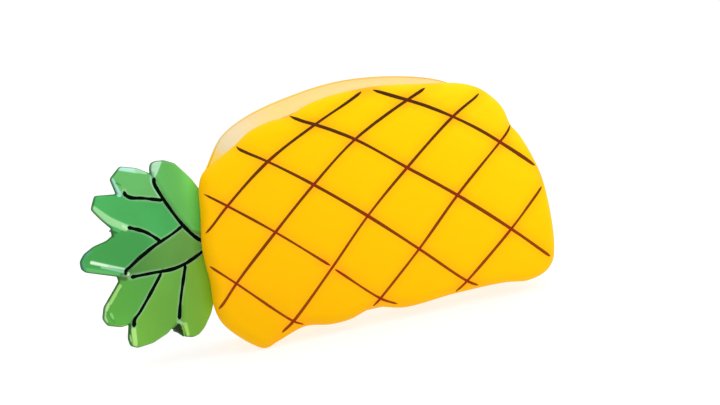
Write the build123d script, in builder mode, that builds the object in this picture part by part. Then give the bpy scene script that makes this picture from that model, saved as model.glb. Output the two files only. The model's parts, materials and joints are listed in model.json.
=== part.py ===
from build123d import *

import math
import os

# A pineapple-shaped toy ukulele, in millimetres.
# +X runs along the strings from the head to the tail, +Y points out of the soundboard and +Z points across
# the strings, towards the arched side of the body. The origin is the mouth of the end-pin bore, in the middle
# of the tail. The quilted back faces -Y, and a crown of leaves covers the head on that same side.

os.makedirs("parts", exist_ok=True)

# ---------------------------------------------------------------- body
BODY_DEPTH = 50.0            # from the back shell's seat to the face of the soundboard
FRONT_Y = BODY_DEPTH / 2
BACK_Y = -BODY_DEPTH / 2
HEAD_END_X = -228.0          # flat end of the sides, where the neck is fastened
FLAT_SIDE_Z = -71.5          # straight long side of the body
TAIL_FLAT = 5.5              # half the height of the flat round the end-pin bore

SIDE_WALL = 2.2
BOARD_THICK = 2.4
BOARD_EDGE = 0.6             # how far the soundboard stands past the sides
LINING_WIDTH = 4.0
LINING_HEIGHT = 6.0
GLUE_GAP = 0.05
SHELL_RISE = 10.0            # how far the back shell stands off the sides
SHELL_WALL = 3.0
SHELL_OVERHANG = 1.5
SHELL_LAP = 12.0             # how far the shell runs on past the sides over the neck
LAP_START_X = -195.0         # the lap grows from nothing here to its whole length at the head end
SHELL_EDGE_R = 8.0
SHELL_EDGE_STEPS = 5
BLOCK_WIDTH = 46.0
BLOCK_LENGTH = 16.0
THROUGH = 60.0               # longer than any hole that goes right through
WIDE = 100.0                 # wider than half the body
END_PIN_R = 4.0
END_PIN_DEPTH = 14.0

# ---------------------------------------------------------------- soundboard and strings
SOUND_HOLE = (-104.0, 0.0)
SOUND_HOLE_R = 19.0
ROSETTE_R = (21.0, 26.0)
INLAY_DEPTH = 1.0
BRACE_X = (-200.0, -138.0, -74.0)
BRACE_SIZE = (6.0, 7.0)      # width and height
NUT_X = -246.0
SADDLE_X = -34.0
SCALE_LENGTH = SADDLE_X - NUT_X
FRET_COUNT = 12
DOT_FRETS = (5, 7, 10)
FRET_HEIGHT = 0.8
FRET_WIDTH = 1.8
TANG = (0.5, 1.6)            # width and depth of a fret's tang
FRET_INSET = 0.5             # how far a fret's ends lie inside the fingerboard's edges
DOT_R = 2.5
FINGERBOARD_THICK = 5.0
FINGERBOARD_END_X = -136.0
NUT_LENGTH = 4.0
NUT_RISE = 0.4               # how far the nut stands above the strings' middles
NUT_ROUND_R = 0.8
NECK_HALF_WIDTH = 19.0
FINGERBOARD_END_HALF_WIDTH = 22.0
BRIDGE_SIZE = (24.0, 66.0, 6.0)
BRIDGE_SHIFT = 3.0           # from the saddle to the middle of the bridge
BRIDGE_CORNER_R = 5.0
BRIDGE_CHAMFER = 1.2
PATCH_SIZE = (22.0, 60.0, 2.0)
PATCH_SHIFT = 2.0
PATCH_CORNER_R = 4.0
SADDLE_SIZE = (2.4, 46.0, 5.4)
SADDLE_SEAT = 3.0            # depth of the saddle's slot in the bridge
SADDLE_ROUND_R = 0.9
STRING_END = (7.0, 2.5)      # where a string ends in the bridge, past the saddle and above the soundboard
STRING_PLACE = {"g": -1.5, "c": -0.5, "e": 0.5, "a": 1.5}   # across the neck, in string spacings
STRING_R = {"g": 0.33, "c": 0.47, "e": 0.41, "a": 0.33}
NUT_SPACING = 9.5
SADDLE_SPACING = 12.5
STRING_ROOM = 0.05
NUT_STRING_Y = FRONT_Y + FINGERBOARD_THICK + 1.7
SADDLE_STRING_Y = FRONT_Y + BRIDGE_SIZE[2] + SADDLE_SIZE[2] - SADDLE_SEAT

# ---------------------------------------------------------------- head and crown
HEAD_TILT = 12.0             # the head and crown lean back, away from the strings
HEAD_TUCK = 0.5              # how far the crown's root lies under the lap of the back shell
HEAD_TUCK_Y = 6.0            # and how far in front of the shell's seat
CROWN_THICK = 12.0
HEAD_BACK_H = 35.0           # the head plate's two faces, above the crown's outer face
HEAD_FRONT_H = 45.0
HEAD_LENGTH = 45.0
HEAD_HALF_WIDTH = 30.0
HEAD_CORNER_R = 12.0
HEAD_SHOULDERS = (4.0, 8.0)  # the head widens between these two places along it
HEEL_Y = 2.0                 # the lowest point of the neck's heel
HEEL_TOE = 5.0               # where the heel meets the head, along it
VEIN_WIDTH = 2.2
VEIN_DEPTH = 1.2
STANDOFFS = [(11.5, 0), (40, 0), (11.5, 25.7), (11.5, -25.7)]
STANDOFF_R = 3.4
CROWN_SCREW_R = 1.4
CROWN_SCREW_GRIP = 7.0       # how far a crown screw reaches into the crown
CROWN_SCREW_HEAD = (2.6, 1.6)                        # radius and height

# ---------------------------------------------------------------- tuners, one worm and wheel per string
TUNER_ROW = {"g": 14.5, "c": 32.0, "e": 32.0, "a": 14.5}
TUNER_SIDE = {"g": -1, "c": -1, "e": 1, "a": 1}
TUNER_Z = 13.0
MODULE = 0.7
GEAR_TEETH = 14
WORM_PITCH = math.pi * MODULE
GEAR_PITCH_R = MODULE * GEAR_TEETH / 2
WORM_PITCH_R = 2.1
TOOTH_REACH = 0.6            # how far teeth and thread stand past their pitch circles
TOOTH_ROOT = 0.75            # how far their roots lie inside them
GEAR_TOOTH = 0.80            # thickness of a wheel's tooth on the pitch circle
WORM_TOOTH = 0.90            # thickness of the thread on the pitch circle
CENTRE_DISTANCE = GEAR_PITCH_R + WORM_PITCH_R
FLANK = math.tan(math.radians(20))
GEAR_H = (27.6, 30.6)        # the wheel's two faces, above the crown's outer face
WORM_H = sum(GEAR_H) / 2
WORM_LENGTH = 8.0
THREAD_TURNS = 2.1
SHAFT_R = 1.2
RUNNING_CLEAR = 0.05
PLATE_THICK = 1.2
PLATE_SIZE = (17.2, 17.6)
PLATE_SHIFT = 1.6            # from the post to the middle of its plate
PLATE_CORNER_R = 2.0
EAR_WIDTH = 5.4
EAR_DROP = 2.6               # how far the ears reach past the worm's axis
EAR_GAP = 0.1                # end float of the worm between the ears, and of a post's wheel
SHAFT_END = 0.6              # how far the worm shaft stands out of its far ear
THREAD_SINK = 0.15           # how deep the thread's foot sits in the shaft
BUTTON_Z = (28.0, 41.0)
# Along a button: the share of its length, and the two half widths of its oval there.
BUTTON_SECTIONS = [(0, 2.6, 2.6), (0.3, 3.4, 2.9), (0.75, 5.6, 3.6), (1, 4.8, 3.0)]
BUTTON_SCREW_LENGTH = 6.0
BUTTON_SCREW_HEAD = (1.9, 0.9)                       # radius and height
POST_R = 2.4
POST_FOOT_R = 1.9
POST_WAIST_R = 2.0
POST_TOP_H = HEAD_FRONT_H + 9.0
POST_CAP_TAPER = 15
FOOT_LENGTH = 1.2            # how far a post's foot stands out below its wheel
BUSHING_R = 3.6
BUSHING_FLANGE = (1.0, 0.8)  # width and thickness
COIL_H = HEAD_FRONT_H + 4.6
COIL_TURNS = 3
WAIST_H = (COIL_H - 3.2, COIL_H + 1.8)     # the narrow stretch of a post that the string winds on
SCREW_R = 0.8
PLATE_SCREW_SPOTS = [(-4.8, -6.6), (-4.8, 6.6)]      # from the post, along and across
PLATE_SCREW_GRIP = 4.0       # how far a plate screw reaches into the head
PLATE_SCREW_HEAD = (1.6, 0.9)                        # radius and height
SCREW_TIP_ROOM = 0.5         # empty depth past the tip of a screw


# ---------------------------------------------------------------- planes and outlines
def level(y):
    """The plane at depth y whose sketch axes are X and Z. Extruding from it goes towards the back, -Y."""
    return Plane.XZ.offset(-y)


tilt = math.radians(HEAD_TILT)
HEAD = Plane(
    origin=(HEAD_END_X - SHELL_LAP + HEAD_TUCK, BACK_Y + HEAD_TUCK_Y, 0),
    x_dir=(-math.cos(tilt), -math.sin(tilt), 0),
    z_dir=(-math.sin(tilt), math.cos(tilt), 0),
)
# HEAD lies on the crown's outer face. Its sketch x runs from the body to the leaf tips and its sketch y is
# +Z. Its normal points to the strings, and a distance along that normal is called a height, or h, below.


def head_point(along, across, height):
    """A point given along the head, across it and above the crown's outer face."""
    return HEAD.from_local_coords(Vector(along, across, height))


# The body's outline, as runs of (x, z, direction of the outward normal in degrees).
TAIL_FOOT = [(-24, FLAT_SIDE_Z, -90), (-1, -61, -40), (3, -38, -2), (0, -TAIL_FLAT, 0)]
ARCH = [
    (0, TAIL_FLAT, 0), (-12, 31, 28), (-33, 59, 50), (-62, 72.5, 71), (-88, 78, 82), (-121, 80.5, 91),
    (-154, 77, 101), (-194, 66, 116), (-206, 58, 135), (-217, 42, 150), (HEAD_END_X, 5, 180),
]
HEAD_FOOT = [
    (HEAD_END_X, -44, 180), (-221, -67, 225), (-210, -76.5, 250), (-196, -75.5, 275), (-174, FLAT_SIDE_Z, 270),
]


def grown(run, grow, lap):
    """A run of the outline moved out by grow. lap carries the points near the head further towards it."""
    points = []
    for x, z, angle in run:
        share = max(0.0, min(1.0, (LAP_START_X - x) / (LAP_START_X - HEAD_END_X)))
        normal = math.radians(angle)
        points.append((x + grow * math.cos(normal) - lap * share, z + grow * math.sin(normal)))
    return points


def body_outline(grow=0.0, lap=0.0):
    """Adds the body's outline to the open sketch: a straight side, an arched side and a flat head end."""
    tail, arch, head = (grown(run, grow, lap) for run in (TAIL_FOOT, ARCH, HEAD_FOOT))
    with BuildLine() as outline:
        Line(head[-1], tail[0])
        Spline(*tail, tangents=[(1, 0), (0, 1)])
        Line(tail[-1], arch[0])
        Spline(*arch, tangents=[(0, 1), (0, -1)])
        Line(arch[-1], head[0])
        Spline(*head, tangents=[(0, -1), (1, 0)])
    make_face(outline.line)


def body_slab(near_y, far_y, grow=0.0):
    """A slab of the body's outline, from near_y back to far_y."""
    with BuildPart() as slab:
        with BuildSketch(level(near_y)):
            body_outline(grow)
        extrude(amount=near_y - far_y)
    return slab.part


def bar(low, high):
    """A rectangular block between two corners."""
    with BuildPart() as block:
        with Locations(tuple((a + b) / 2 for a, b in zip(low, high))):
            Box(*[b - a for a, b in zip(low, high)])
    return block.part


# The leaves' outlines on the crown's outer face, as (along, across) points.
LEAVES = [
    [(-4, 4), (-6, 20), (-5, 36), (3, 49), (13, 58), (19, 58), (23.5, 52), (24, 46), (17, 26), (7, 8)],
    [(19, 30), (26, 53), (34, 60), (45, 62), (52, 58), (56, 51), (50, 44), (34, 34)],
    [(9, 9), (22, 36), (37, 41.5), (55, 45), (65, 46), (72, 40), (70, 33), (59, 20), (46, 12), (28, 4)],
    [(28, 4), (42, 15), (55, 17.5), (64, 17), (79, 11), (87, 4), (86, -1), (70, -7), (54, -11), (42, -2)],
    [(30, -12), (42, -12), (53, -13), (65, -22), (77, -33), (80, -39), (77, -43), (70, -44.5), (62, -43),
     (50, -36), (40, -26)],
    [(12, -10), (30, -12), (44, -25), (54, -37), (62, -50), (63.5, -56), (60, -60), (52, -61.5), (41, -59),
     (30, -54.5), (20, -34)],
    [(-4, -5), (12, -12), (20, -32), (27, -54), (27, -59), (23.5, -63), (18, -64.5), (12, -62), (6, -55),
     (-2, -41), (-3, -28), (-4, -15)],
    [(-4, 4), (10, 12), (20, 11), (36, 4.5), (52, -3), (60, -10), (48, -13.5), (30, -14.5), (12, -13),
     (-4, -8)],
]
# The lines between the leaves, each from the stalk outwards.
VEINS = [
    [(-1.5, -1), (4, 4), (10.5, 12), (18, 27), (22.5, 39), (25.5, 51)],
    [(22, 34.5), (34, 38), (44, 42.5), (50.5, 47)],
    [(29, 7), (36, 13.5), (44, 19), (52, 22.5)],
    [(10.5, 12), (20, 10), (36, 4), (52, -3.5), (59, -10)],
    [(-1.5, -6.5), (6, -10), (14, -12.5), (28, -14), (56, -11.5)],
    [(33, -14.5), (44, -26.5), (52, -35.5), (59.5, -44)],
    [(14, -13), (19, -25), (23, -37), (25, -49)],
]


def vein_strokes():
    """The lines between the leaves, as strokes as deep as their grooves."""
    with BuildPart() as strokes:
        with BuildSketch(HEAD):
            for points in VEINS:
                with BuildLine():
                    Spline(*points)
                trace(line_width=VEIN_WIDTH)
        extrude(amount=VEIN_DEPTH)
    return strokes.part


def save(part, label):
    part.label = label
    export_step(part, f"parts/{label}.step")


# ---------------------------------------------------------------- body pieces
LINING_GROW = -SIDE_WALL - GLUE_GAP
INSIDE_GROW = LINING_GROW - LINING_WIDTH - GLUE_GAP
TAIL_BLOCK_END_X = 10.0      # past the sides, which cut the block to their own curve
neck_block_low = (HEAD_END_X, BACK_Y, -BLOCK_WIDTH / 2)
neck_block_high = (HEAD_END_X + SIDE_WALL + BLOCK_LENGTH, FRONT_Y - BOARD_THICK - GLUE_GAP, BLOCK_WIDTH / 2)
tail_block_low = (-END_PIN_DEPTH, BACK_Y, -BLOCK_WIDTH / 2)
tail_block_high = (TAIL_BLOCK_END_X, FRONT_Y - BOARD_THICK - GLUE_GAP, BLOCK_WIDTH / 2)
NECK_SCREWS = [(14.0, -12.0), (14.0, 12.0)]      # y and z of the screws that hold the neck
NECK_SCREW_R = 1.9
NECK_SCREW_HEAD = (3.6, 2.4)                     # radius of its six corners, and height
NECK_SCREW_X = (HEAD_END_X - 13, HEAD_END_X + SIDE_WALL + BLOCK_LENGTH)

with BuildPart() as sides:
    with BuildSketch(level(FRONT_Y - BOARD_THICK)):
        body_outline()
    extrude(amount=BODY_DEPTH - BOARD_THICK)
    add(body_slab(FRONT_Y, BACK_Y - 1, -SIDE_WALL), mode=Mode.SUBTRACT)
    with BuildSketch(Plane.YZ.offset(-END_PIN_DEPTH)):
        Circle(END_PIN_R)
    extrude(amount=2 * END_PIN_DEPTH, mode=Mode.SUBTRACT)
    with BuildSketch(Plane.YZ.offset(HEAD_END_X - 1)):
        with Locations(*NECK_SCREWS):
            Circle(NECK_SCREW_R + RUNNING_CLEAR)
    extrude(amount=SIDE_WALL + 2, mode=Mode.SUBTRACT)
save(sides.part, "sides")


def make_lining(near_y):
    """A strip inside the sides that widens their edge for gluing, cut away at both end blocks."""
    with BuildPart() as lining:
        with BuildSketch(level(near_y)):
            body_outline(LINING_GROW)
        extrude(amount=LINING_HEIGHT)
        add(body_slab(near_y + 1, near_y - LINING_HEIGHT - 1, LINING_GROW - LINING_WIDTH), mode=Mode.SUBTRACT)
        for low, high in ((neck_block_low, neck_block_high), (tail_block_low, tail_block_high)):
            room = bar((low[0] - 2, -WIDE, low[2] - GLUE_GAP), (high[0] + 2, WIDE, high[2] + GLUE_GAP))
            add(room, mode=Mode.SUBTRACT)
    return lining.part


save(make_lining(FRONT_Y - BOARD_THICK), "front_lining")
save(make_lining(BACK_Y + LINING_HEIGHT), "back_lining")

with BuildPart() as neck_block:
    add(bar(neck_block_low, neck_block_high))
    add(body_slab(FRONT_Y, BACK_Y, LINING_GROW), mode=Mode.INTERSECT)
    with BuildSketch(Plane.YZ.offset(HEAD_END_X - 1)):
        with Locations(*NECK_SCREWS):
            Circle(NECK_SCREW_R + RUNNING_CLEAR)
    extrude(amount=3 * BLOCK_LENGTH, mode=Mode.SUBTRACT)
save(neck_block.part, "neck_block")

with BuildPart() as tail_block:
    add(bar(tail_block_low, tail_block_high))
    add(body_slab(FRONT_Y, BACK_Y, LINING_GROW), mode=Mode.INTERSECT)
    with BuildSketch(Plane.YZ.offset(-2 * END_PIN_DEPTH)):
        Circle(END_PIN_R)
    extrude(amount=3 * END_PIN_DEPTH, mode=Mode.SUBTRACT)
save(tail_block.part, "tail_block")

with BuildPart() as back_shell:
    with BuildSketch(level(BACK_Y)):
        body_outline(SHELL_OVERHANG, SHELL_LAP)
    for step in range(SHELL_EDGE_STEPS + 1):
        turn = math.radians(90 * step / SHELL_EDGE_STEPS)
        drop = SHELL_RISE - SHELL_EDGE_R * (1 - math.sin(turn))
        with BuildSketch(level(BACK_Y - drop)):
            body_outline(SHELL_OVERHANG - SHELL_EDGE_R * (1 - math.cos(turn)), SHELL_LAP)
    loft(ruled=True)
    with BuildSketch(level(BACK_Y)):
        body_outline(INSIDE_GROW)
    extrude(amount=SHELL_RISE - SHELL_WALL, mode=Mode.SUBTRACT)
save(back_shell.part, "back_shell")

with BuildPart() as soundboard:
    with BuildSketch(level(FRONT_Y)):
        body_outline(BOARD_EDGE)
        with Locations(SOUND_HOLE):
            Circle(SOUND_HOLE_R, mode=Mode.SUBTRACT)
    extrude(amount=BOARD_THICK)
    with BuildSketch(level(FRONT_Y)):
        with Locations(SOUND_HOLE):
            Circle(ROSETTE_R[1])
            Circle(ROSETTE_R[0], mode=Mode.SUBTRACT)
    extrude(amount=INLAY_DEPTH, mode=Mode.SUBTRACT)
save(soundboard.part, "soundboard")

with BuildPart() as rosette:
    with BuildSketch(level(FRONT_Y)):
        with Locations(SOUND_HOLE):
            Circle(ROSETTE_R[1] - GLUE_GAP)
            Circle(ROSETTE_R[0] + GLUE_GAP, mode=Mode.SUBTRACT)
    extrude(amount=INLAY_DEPTH)
save(rosette.part, "rosette")

UNDER_BOARD_Y = FRONT_Y - BOARD_THICK
with BuildPart() as braces:
    for x in BRACE_X:
        half = BRACE_SIZE[0] / 2
        add(bar((x - half, UNDER_BOARD_Y - BRACE_SIZE[1], -WIDE), (x + half, UNDER_BOARD_Y, WIDE)))
    add(body_slab(FRONT_Y, 0, INSIDE_GROW), mode=Mode.INTERSECT)
save(braces.part, "soundboard_braces")

with BuildPart() as bridge_patch:
    with BuildSketch(level(UNDER_BOARD_Y)):
        with Locations((SADDLE_X + PATCH_SHIFT, 0)):
            RectangleRounded(PATCH_SIZE[0], PATCH_SIZE[1], PATCH_CORNER_R)
    extrude(amount=PATCH_SIZE[2])
save(bridge_patch.part, "bridge_patch")


# ---------------------------------------------------------------- strings and what they rest on
def string_points(name):
    """The string's path: from its post over the nut and saddle into the bridge. It leaves its post on the
    side nearer the middle of the head."""
    side, across = TUNER_SIDE[name], STRING_PLACE[name]
    nut = Vector(NUT_X, NUT_STRING_Y, across * NUT_SPACING)
    post_x, post_y = TUNER_ROW[name], side * TUNER_Z
    nut_in_head = HEAD.to_local_coords(nut)
    reach = POST_WAIST_R + STRING_R[name] + STRING_ROOM
    start_x, start_y = post_x, post_y - side * reach
    for _ in range(3):
        run_x, run_y = nut_in_head.X - start_x, nut_in_head.Y - start_y
        length = math.hypot(run_x, run_y)
        start_x = post_x - side * reach * run_y / length
        start_y = post_y + side * reach * run_x / length
    past_x, past_y = start_x - run_x / length, start_y - run_y / length
    return [
        head_point(past_x, past_y, COIL_H + 2 * STRING_R[name] + STRING_ROOM),
        nut,
        Vector(SADDLE_X, SADDLE_STRING_Y, across * SADDLE_SPACING),
        Vector(SADDLE_X + STRING_END[0], FRONT_Y + STRING_END[1], across * SADDLE_SPACING),
    ]


def make_string(name, extra=0.0):
    """The straight run of one string, made thicker by extra to cut its way through what it crosses."""
    points = string_points(name)
    with BuildPart() as string:
        with BuildLine() as path:
            Polyline(*points)
        with BuildSketch(Plane(origin=points[0], z_dir=path.line % 0)):
            Circle(STRING_R[name] + extra)
        sweep(path=path.line, transition=Transition.RIGHT)
    return string.part


for name in STRING_PLACE:
    save(make_string(name), f"string_{name}")
string_ways = [make_string(name, STRING_ROOM) for name in STRING_PLACE]


def fret_x(number):
    return NUT_X + SCALE_LENGTH * (1 - 2 ** (-number / 12))


def half_width(x):
    """Half the fingerboard's width at x."""
    share = (x - NUT_X) / (FINGERBOARD_END_X - NUT_X)
    return NECK_HALF_WIDTH + share * (FINGERBOARD_END_HALF_WIDTH - NECK_HALF_WIDTH)


BOARD_TOP_Y = FRONT_Y + FINGERBOARD_THICK
FINGERBOARD_START_X = NUT_X + NUT_LENGTH / 2
dot_spots = [((fret_x(n) + fret_x(n - 1)) / 2, 0) for n in DOT_FRETS]

with BuildPart() as fingerboard:
    with BuildSketch(level(BOARD_TOP_Y)):
        with BuildLine():
            Polyline(
                (FINGERBOARD_START_X, -half_width(FINGERBOARD_START_X)),
                (FINGERBOARD_END_X, -FINGERBOARD_END_HALF_WIDTH),
                (FINGERBOARD_END_X, FINGERBOARD_END_HALF_WIDTH),
                (FINGERBOARD_START_X, half_width(FINGERBOARD_START_X)),
                close=True,
            )
        make_face()
    extrude(amount=FINGERBOARD_THICK)
    for number in range(1, FRET_COUNT + 1):
        half = TANG[0] / 2 + GLUE_GAP
        x = fret_x(number)
        slot = bar((x - half, BOARD_TOP_Y - TANG[1] - GLUE_GAP, -WIDE), (x + half, BOARD_TOP_Y + 1, WIDE))
        add(slot, mode=Mode.SUBTRACT)
    with BuildSketch(level(BOARD_TOP_Y)):
        with Locations(*dot_spots):
            Circle(DOT_R)
    extrude(amount=INLAY_DEPTH, mode=Mode.SUBTRACT)
save(fingerboard.part, "fingerboard")

with BuildPart() as position_dots:
    with BuildSketch(level(BOARD_TOP_Y)):
        with Locations(*dot_spots):
            Circle(DOT_R - GLUE_GAP)
    extrude(amount=INLAY_DEPTH)
save(position_dots.part, "position_dots")

with BuildPart() as frets:
    for number in range(1, FRET_COUNT + 1):
        x = fret_x(number)
        left, right = (x - FRET_WIDTH / 2, BOARD_TOP_Y), (x + FRET_WIDTH / 2, BOARD_TOP_Y)
        with BuildSketch(Plane.XY):
            with BuildLine():
                Line(left, right)
                ThreePointArc(right, (x, BOARD_TOP_Y + FRET_HEIGHT), left)
            make_face()
            with Locations((x, BOARD_TOP_Y - TANG[1] / 2 + FRET_HEIGHT / 4)):
                Rectangle(TANG[0], TANG[1] + FRET_HEIGHT / 2)
        extrude(amount=half_width(x) - FRET_INSET, both=True)
save(frets.part, "frets")

with BuildPart() as nut:
    start = NUT_X - NUT_LENGTH / 2
    add(bar(
        (start, FRONT_Y, -NECK_HALF_WIDTH),
        (start + NUT_LENGTH - GLUE_GAP, NUT_STRING_Y + NUT_RISE, NECK_HALF_WIDTH),
    ))
    fillet(nut.faces().sort_by(Axis.Y)[-1].edges().filter_by(Axis.Z), radius=NUT_ROUND_R)
    for way in string_ways:
        add(way, mode=Mode.SUBTRACT)
save(nut.part, "nut")

with BuildPart() as bridge:
    with BuildSketch(level(FRONT_Y + BRIDGE_SIZE[2])):
        with Locations((SADDLE_X + BRIDGE_SHIFT, 0)):
            RectangleRounded(BRIDGE_SIZE[0], BRIDGE_SIZE[1], BRIDGE_CORNER_R)
    extrude(amount=BRIDGE_SIZE[2])
    chamfer(bridge.faces().sort_by(Axis.Y)[-1].edges(), length=BRIDGE_CHAMFER)
    slot_half = SADDLE_SIZE[0] / 2 + GLUE_GAP
    slot_end = SADDLE_SIZE[1] / 2 + GLUE_GAP
    seat_y = FRONT_Y + BRIDGE_SIZE[2] - SADDLE_SEAT
    add(
        bar((SADDLE_X - slot_half, seat_y, -slot_end), (SADDLE_X + slot_half, seat_y + THROUGH, slot_end)),
        mode=Mode.SUBTRACT,
    )
    for way in string_ways:
        add(way, mode=Mode.SUBTRACT)
save(bridge.part, "bridge")

with BuildPart() as saddle:
    half = SADDLE_SIZE[0] / 2
    add(bar(
        (SADDLE_X - half, seat_y, -SADDLE_SIZE[1] / 2),
        (SADDLE_X + half, seat_y + SADDLE_SIZE[2], SADDLE_SIZE[1] / 2),
    ))
    fillet(saddle.faces().sort_by(Axis.Y)[-1].edges().filter_by(Axis.Z), radius=SADDLE_ROUND_R)
    for way in string_ways:
        add(way, mode=Mode.SUBTRACT)
save(saddle.part, "saddle")


# ---------------------------------------------------------------- neck, head and crown
def tuner_spots(names=STRING_PLACE):
    return [(TUNER_ROW[n], TUNER_SIDE[n] * TUNER_Z) for n in names]


def post_plane(name, height, turn=0.0):
    """A plane across the tuner's post at a height, turned about the post by a number of degrees."""
    side = TUNER_SIDE[name]
    x_dir = HEAD.x_dir.rotate(Axis((0, 0, 0), HEAD.z_dir), turn)
    return Plane(origin=head_point(TUNER_ROW[name], side * TUNER_Z, height), x_dir=x_dir, z_dir=HEAD.z_dir)


with BuildPart() as neck:
    top = head_point(0, 0, HEAD_FRONT_H)
    shoulder = head_point(12, 0, HEAD_FRONT_H)
    toe = head_point(HEEL_TOE, 0, HEAD_BACK_H)
    with BuildSketch(Plane.XY):
        with BuildLine():
            Polyline(
                (HEAD_END_X, FRONT_Y), (top.X + 1, FRONT_Y), (shoulder.X, shoulder.Y), (toe.X, toe.Y),
                (HEAD_END_X, HEEL_Y), close=True,
            )
        make_face()
    extrude(amount=NECK_HALF_WIDTH, both=True)
    with BuildSketch(HEAD.offset(HEAD_BACK_H)):
        with BuildLine():
            Polyline(
                (HEAD_SHOULDERS[0], -NECK_HALF_WIDTH), (HEAD_SHOULDERS[1], -HEAD_HALF_WIDTH),
                (HEAD_LENGTH, -HEAD_HALF_WIDTH), (HEAD_LENGTH, HEAD_HALF_WIDTH),
                (HEAD_SHOULDERS[1], HEAD_HALF_WIDTH), (HEAD_SHOULDERS[0], NECK_HALF_WIDTH), close=True,
            )
        make_face()
        fillet(vertices().group_by(Axis.X)[-1], radius=HEAD_CORNER_R)
    extrude(amount=HEAD_FRONT_H - HEAD_BACK_H)
    with BuildSketch(HEAD.offset(CROWN_THICK)):
        with Locations(*tuner_spots()):
            Circle(BUSHING_R + GLUE_GAP)
        with Locations(*STANDOFFS):
            Circle(CROWN_SCREW_R + RUNNING_CLEAR)
    extrude(amount=THROUGH, mode=Mode.SUBTRACT)
    with BuildSketch(Plane.YZ.offset(HEAD_END_X)):
        with Locations(*NECK_SCREWS):
            Circle(NECK_SCREW_R + RUNNING_CLEAR)
    extrude(amount=NECK_SCREW_X[0] - HEAD_END_X - SCREW_TIP_ROOM, mode=Mode.SUBTRACT)
    for name in STRING_PLACE:
        with BuildSketch(post_plane(name, HEAD_BACK_H)):
            with Locations(*PLATE_SCREW_SPOTS):
                Circle(SCREW_R + RUNNING_CLEAR)
        extrude(amount=PLATE_SCREW_GRIP + SCREW_TIP_ROOM, mode=Mode.SUBTRACT)
    add(body_slab(FRONT_Y, FRONT_Y - BOARD_THICK, BOARD_EDGE), mode=Mode.SUBTRACT)
save(neck.part, "neck")

with BuildPart() as neck_screws:
    with BuildSketch(Plane.YZ.offset(NECK_SCREW_X[0])):
        with Locations(*NECK_SCREWS):
            Circle(NECK_SCREW_R)
    extrude(amount=NECK_SCREW_X[1] - NECK_SCREW_X[0])
    with BuildSketch(Plane.YZ.offset(NECK_SCREW_X[1])):
        with Locations(*NECK_SCREWS):
            RegularPolygon(NECK_SCREW_HEAD[0], 6)
    extrude(amount=NECK_SCREW_HEAD[1])
save(neck_screws.part, "neck_screws")

with BuildPart() as crown:
    with BuildSketch(HEAD):
        for points in LEAVES:
            with BuildLine():
                Spline(*points, periodic=True)
            make_face()
    extrude(amount=CROWN_THICK)
    add(vein_strokes(), mode=Mode.SUBTRACT)
    with BuildSketch(HEAD.offset(CROWN_THICK)):
        with Locations(*STANDOFFS):
            Circle(CROWN_SCREW_R + RUNNING_CLEAR)
    extrude(amount=-CROWN_SCREW_GRIP - SCREW_TIP_ROOM, mode=Mode.SUBTRACT)
save(crown.part, "crown")

with BuildPart() as crown_lines:
    add(vein_strokes())
save(crown_lines.part, "crown_lines")

with BuildPart() as crown_standoffs:
    with BuildSketch(HEAD.offset(CROWN_THICK)):
        with Locations(*STANDOFFS):
            Circle(STANDOFF_R)
            Circle(CROWN_SCREW_R + RUNNING_CLEAR, mode=Mode.SUBTRACT)
    extrude(amount=HEAD_BACK_H - CROWN_THICK)
save(crown_standoffs.part, "crown_standoffs")

with BuildPart() as crown_screws:
    with BuildSketch(HEAD.offset(CROWN_THICK - CROWN_SCREW_GRIP)):
        with Locations(*STANDOFFS):
            Circle(CROWN_SCREW_R)
    extrude(amount=HEAD_FRONT_H - CROWN_THICK + CROWN_SCREW_GRIP)
    with BuildSketch(HEAD.offset(HEAD_FRONT_H)):
        with Locations(*STANDOFFS):
            Circle(CROWN_SCREW_HEAD[0])
    extrude(amount=CROWN_SCREW_HEAD[1])
save(crown_screws.part, "crown_screws")

# ---------------------------------------------------------------- tuners
PLATE_H = HEAD_BACK_H - PLATE_THICK
EAR_LOW_H = WORM_H - EAR_DROP


def worm_plane(name, along):
    """A plane across the worm shaft. along is the distance from the post's axis towards +Z."""
    side = TUNER_SIDE[name]
    origin = head_point(TUNER_ROW[name] + CENTRE_DISTANCE, side * TUNER_Z + along, WORM_H)
    return Plane(origin=origin, x_dir=HEAD.x_dir, z_dir=(0, 0, 1))


def ear_spans():
    """The two ears' low and high places along the worm shaft, from the post's axis."""
    inner = WORM_LENGTH / 2 + EAR_GAP
    return [(-inner - PLATE_THICK, -inner), (inner, inner + PLATE_THICK)]


def make_tuner_plate(name):
    """The plate under the head with two ears that carry the worm shaft."""
    with BuildPart() as plate:
        with BuildSketch(post_plane(name, PLATE_H)):
            with Locations((PLATE_SHIFT, 0)):
                RectangleRounded(*PLATE_SIZE, PLATE_CORNER_R)
            Circle(POST_R + RUNNING_CLEAR, mode=Mode.SUBTRACT)
            with Locations(*PLATE_SCREW_SPOTS):
                Circle(SCREW_R + RUNNING_CLEAR, mode=Mode.SUBTRACT)
        extrude(amount=PLATE_THICK)
        with BuildSketch(post_plane(name, EAR_LOW_H)):
            for low, high in ear_spans():
                with Locations((CENTRE_DISTANCE, (low + high) / 2)):
                    Rectangle(EAR_WIDTH, high - low)
        extrude(amount=PLATE_H - EAR_LOW_H)
        with BuildSketch(worm_plane(name, 0)):
            Circle(SHAFT_R + RUNNING_CLEAR)
        extrude(amount=THROUGH, both=True, mode=Mode.SUBTRACT)
    return plate.part


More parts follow.
